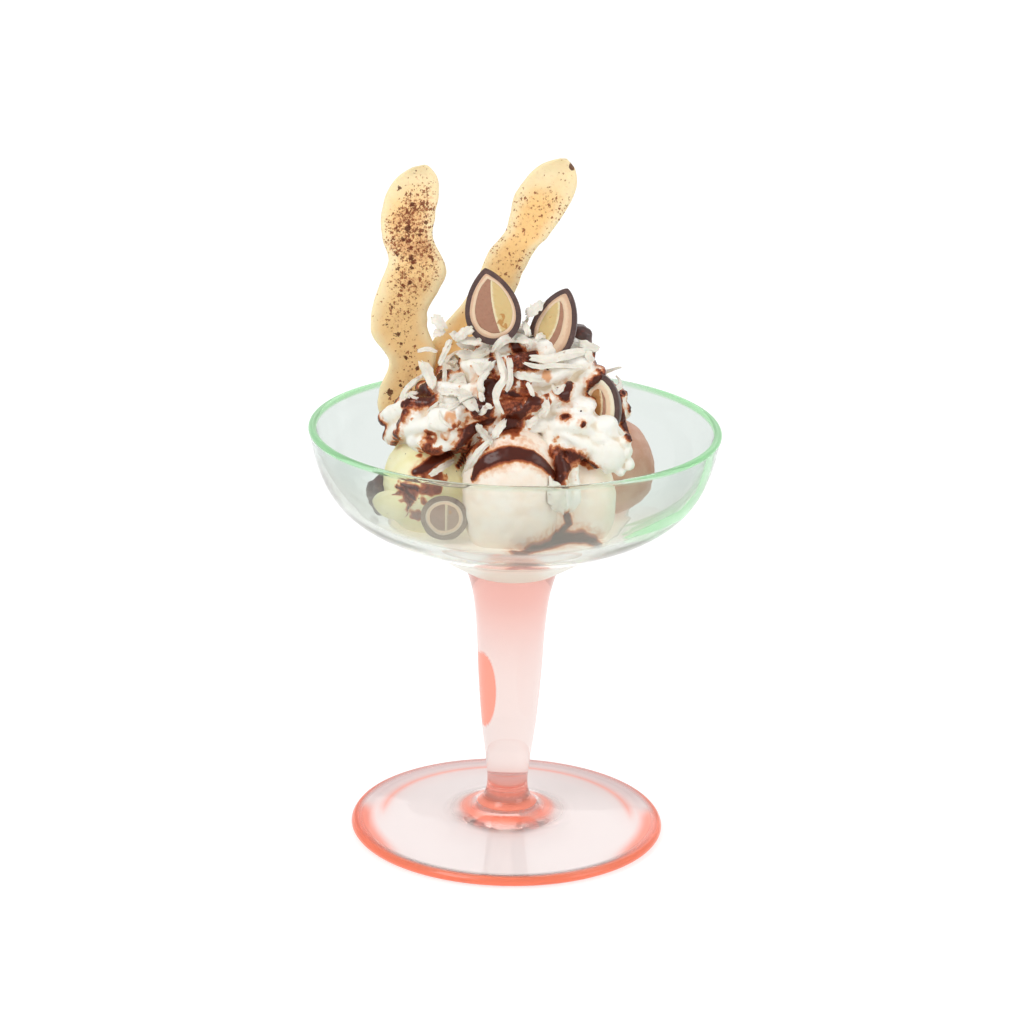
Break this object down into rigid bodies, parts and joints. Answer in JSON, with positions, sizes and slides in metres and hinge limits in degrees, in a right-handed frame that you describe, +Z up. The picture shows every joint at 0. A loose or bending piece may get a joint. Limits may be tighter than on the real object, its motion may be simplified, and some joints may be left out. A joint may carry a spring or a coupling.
{
  "type": "ice cream sundae",
  "caption": "Footed dessert glass filled with ice cream and whipped cream, dressed with halved filled chocolates, shaved white chocolate, dark sauce and wavy wafers.",
  "frame": {"origin": "centre of the foot's underside, on the glass's axis, at the height of the surface it stands on", "axes": "+Z up along the glass's axis; -Y is the front, where the small round halved chocolate and the front scoop show; +X is to the front's right"},
  "size_m": [0.12, 0.12, 0.2028],
  "materials": {
    "clear_glass": "clear polished glass with a green tint at the rim",
    "pink_glass": "pale pink polished glass, salmon at the edges",
    "melted_ice_cream": "wet, cream white",
    "cream_ice": "pale pinkish cream, finely rough",
    "vanilla_ice": "pale yellow, finely rough with dark specks",
    "chocolate_ice": "light brown, finely rough",
    "whipped_cream": "soft warm white",
    "dark_chocolate": "dark brown, satin",
    "nougat": "pale tan, dense and smooth",
    "praline": "light brown paste",
    "marzipan": "pale yellow paste with small tan pieces",
    "white_chocolate": "greyish white shavings, satin",
    "chocolate_sauce": "dark, wet, red-orange where thin",
    "wafer": "pale baked ribbon with brown specks"
  },
  "bodies": {
    "root": {"glass_bowl": "clear_glass", "glass_stem_foot": "pink_glass", "melted_ice_cream": "melted_ice_cream", "scoop_front": "cream_ice", "scoop_right": "cream_ice", "scoop_vanilla": "vanilla_ice", "scoop_chocolate": "chocolate_ice", "scoop_back": "cream_ice", "vanilla_lump": "vanilla_ice", "whipped_cream": "whipped_cream", "sweet_left_coat": "dark_chocolate", "sweet_left_nougat": "nougat", "sweet_left_praline": "praline", "sweet_left_marzipan": "marzipan", "sweet_right_coat": "dark_chocolate", "sweet_right_nougat": "nougat", "sweet_right_praline": "praline", "sweet_right_marzipan": "marzipan", "sweet_side_coat": "dark_chocolate", "sweet_side_nougat": "nougat", "sweet_side_praline": "praline", "sweet_side_marzipan": "marzipan", "sweet_low_coat": "dark_chocolate", "sweet_low_nougat": "nougat", "sweet_low_praline": "praline", "sweet_low_marzipan": "marzipan", "chocolate_chunk_left": "dark_chocolate", "chocolate_chunk_back": "dark_chocolate", "wafer_left": "wafer", "wafer_right": "wafer"}
  },
  "joints": []
}
